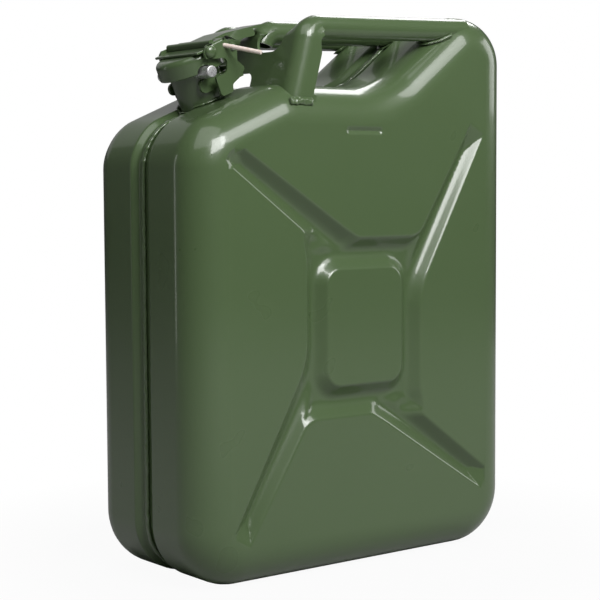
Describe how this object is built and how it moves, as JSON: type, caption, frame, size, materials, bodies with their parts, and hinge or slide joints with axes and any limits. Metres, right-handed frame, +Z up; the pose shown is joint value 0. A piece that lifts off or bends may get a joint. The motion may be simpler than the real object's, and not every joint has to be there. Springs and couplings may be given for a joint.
{
  "type": "metal jerry can",
  "caption": "Upright pressed-steel fuel can with a sunk welded seam, tube carrying handles on top and a tilted filler neck shut by a hinged cap with a hooked lever.",
  "frame": {"origin": "centre of the can's footprint, on the surface it stands on", "axes": "+Z up, +X from the filler neck towards the raised rear end, +Y across the can"},
  "size_m": [0.345, 0.16, 0.4749],
  "materials": {
    "paint": "gloss",
    "zinc": "zinc plated",
    "pin": "satin",
    "rubber": "matt"
  },
  "bodies": {
    "can": {"near_shell": "paint", "far_shell": "paint", "seam_weld": "paint", "handle_near": "paint", "handle_middle": "paint", "handle_far": "paint", "handle_weld_near": "paint", "handle_weld_middle": "paint", "handle_weld_far": "paint", "handle_bracket": "paint", "bracket_weld_near": "paint", "bracket_weld_far": "paint", "filler_neck": "paint", "neck_weld": "paint", "hinge_strap": "paint", "vent_tube": "zinc", "hinge_pin": "zinc", "latch_stud_near": "zinc", "latch_stud_far": "zinc"},
    "cap": {"cap": "paint", "cap_gasket": "rubber", "gasket_disc": "zinc", "cap_carrier": "paint", "rivet_near": "paint", "rivet_far": "paint"},
    "lever": {"closing_lever": "paint"},
    "pin": {"lock_pin": "pin"}
  },
  "joints": [
    {"name": "cap_hinge", "type": "hinge", "parent": "can", "child": "cap", "pos_m": [-0.08965, 0, 0.44087], "axis": [0, 1, 0], "range_deg": [0, 68]},
    {"name": "lever_pivot", "type": "hinge", "parent": "cap", "child": "lever", "pos_m": [-0.12467, 0, 0.43439], "axis": [0, -1, 0], "range_deg": [0, 81.6]},
    {"name": "lock_pin_slide", "type": "slide", "parent": "lever", "child": "pin", "axis": [0.4492, -0.8685, -0.2096], "range_m": [0, 0.04]}
  ],
  "couplings": [
    {"joint": "lever_pivot", "follows": "cap_hinge", "ratio": 1.2}
  ]
}
